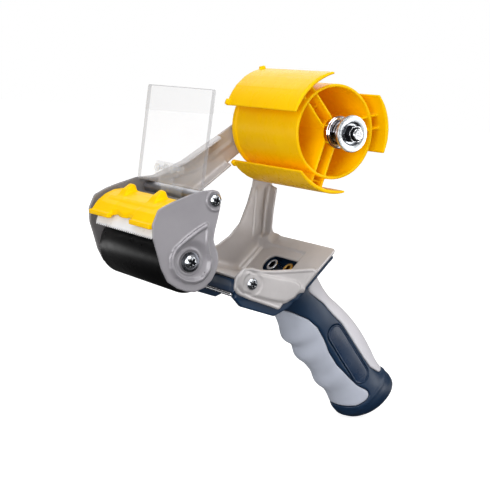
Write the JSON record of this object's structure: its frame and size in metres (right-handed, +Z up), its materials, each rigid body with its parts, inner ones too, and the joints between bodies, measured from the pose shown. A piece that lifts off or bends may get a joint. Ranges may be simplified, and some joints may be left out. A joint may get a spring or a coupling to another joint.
{
  "type": "tape gun dispenser",
  "caption": "Hand-held packing tape gun with a spoked tape hub, front roller, spring-back blade cover, folding clear guard and pistol grip.",
  "frame": {"origin": "middle of the pistol grip, at the point that the hand holds; the gun hangs in the hand in the attitude it is carried in", "axes": "+X forwards to the roller and blade, +Y to the gun's left, where the tape roll is loaded, +Z up"},
  "size_m": [0.2274, 0.1058, 0.2391],
  "materials": {
    "frame_paint": "satin",
    "plate_paint": "satin",
    "hub_yellow": "gloss",
    "bolt_zinc": "satin",
    "spacer_zinc": "satin",
    "cup_chrome": "polished",
    "spring_steel": "satin",
    "washer_zinc": "satin",
    "nut_zinc": "satin",
    "roller_black": "gloss",
    "core_black": "matte",
    "axle_steel": "satin",
    "axle_washer_zinc": "satin",
    "screw_zinc": "polished",
    "rod_steel": "satin",
    "guard_clear": "clear",
    "block_clear": "clear",
    "rivet_clear": "clear",
    "cover_yellow": "gloss",
    "pin_steel": "satin",
    "cover_spring_steel": "satin",
    "holder_paint": "satin",
    "blade_steel": "bright",
    "shell_navy": "satin",
    "badge_navy": "gloss",
    "grip_grey": "matte",
    "back_pale": "matte",
    "strip_chrome": "polished",
    "insert_brass": "machined"
  },
  "bodies": {
    "hub": {"hub_drum": "hub_yellow"},
    "roller": {"roller_sleeve": "roller_black", "roller_core": "core_black"},
    "guard": {"guard_panel": "guard_clear", "guard_block": "block_clear", "guard_rivet_1": "rivet_clear", "guard_rivet_2": "rivet_clear"},
    "cover": {"blade_cover": "cover_yellow"},
    "nut": {"tension_nut": "nut_zinc"},
    "frame": {"side_frame": "frame_paint", "head_plate": "plate_paint", "hub_bolt": "bolt_zinc", "hub_spacer": "spacer_zinc", "friction_cup": "cup_chrome", "pressure_washer": "spacer_zinc", "spring_seat": "cup_chrome", "tension_spring": "spring_steel", "tension_washer": "washer_zinc", "roller_axle": "axle_steel", "axle_washer_left": "axle_washer_zinc", "axle_screw_left": "screw_zinc", "axle_screw_right": "screw_zinc", "rod_screw_left": "screw_zinc", "rod_screw_right": "screw_zinc", "saddle_screw_left": "screw_zinc", "saddle_screw_right": "screw_zinc", "shell_screw_1": "screw_zinc", "shell_screw_2": "screw_zinc", "blade_screw_1": "screw_zinc", "blade_screw_2": "screw_zinc", "handle_bolt": "screw_zinc", "cross_rod": "rod_steel", "cover_pin": "pin_steel", "cover_spring": "cover_spring_steel", "blade_holder": "holder_paint", "blade": "blade_steel", "handle_left": "shell_navy", "handle_right": "shell_navy", "badge_left": "badge_navy", "badge_right": "badge_navy", "finger_grip": "grip_grey", "back_grip": "back_pale", "nose_strip": "strip_chrome", "brass_insert": "insert_brass"}
  },
  "joints": [
    {"name": "hub_spin", "type": "hinge", "parent": "frame", "child": "hub", "pos_m": [0.0377, 0, 0.1461], "axis": [0, 1, 0], "continuous": true},
    {"name": "roller_spin", "type": "hinge", "parent": "frame", "child": "roller", "pos_m": [0.1437, 0, 0.0641], "axis": [0, 1, 0], "continuous": true},
    {"name": "guard_hinge", "type": "hinge", "parent": "frame", "child": "guard", "pos_m": [0.1291, 0, 0.1011], "axis": [0, 1, 0], "range_deg": [0, 45]},
    {"name": "cover_pivot", "type": "hinge", "parent": "frame", "child": "cover", "pos_m": [0.1502, 0, 0.0957], "axis": [0, 1, 0], "range_deg": [-28, 0], "stiffness_Nm_per_rad": 0.03, "springref_deg": 28.65},
    {"name": "drag_nut_turn", "type": "hinge", "parent": "frame", "child": "nut", "pos_m": [0.0377, 0.052, 0.1461], "axis": [0, 1, 0], "range_deg": [-180, 180]}
  ]
}
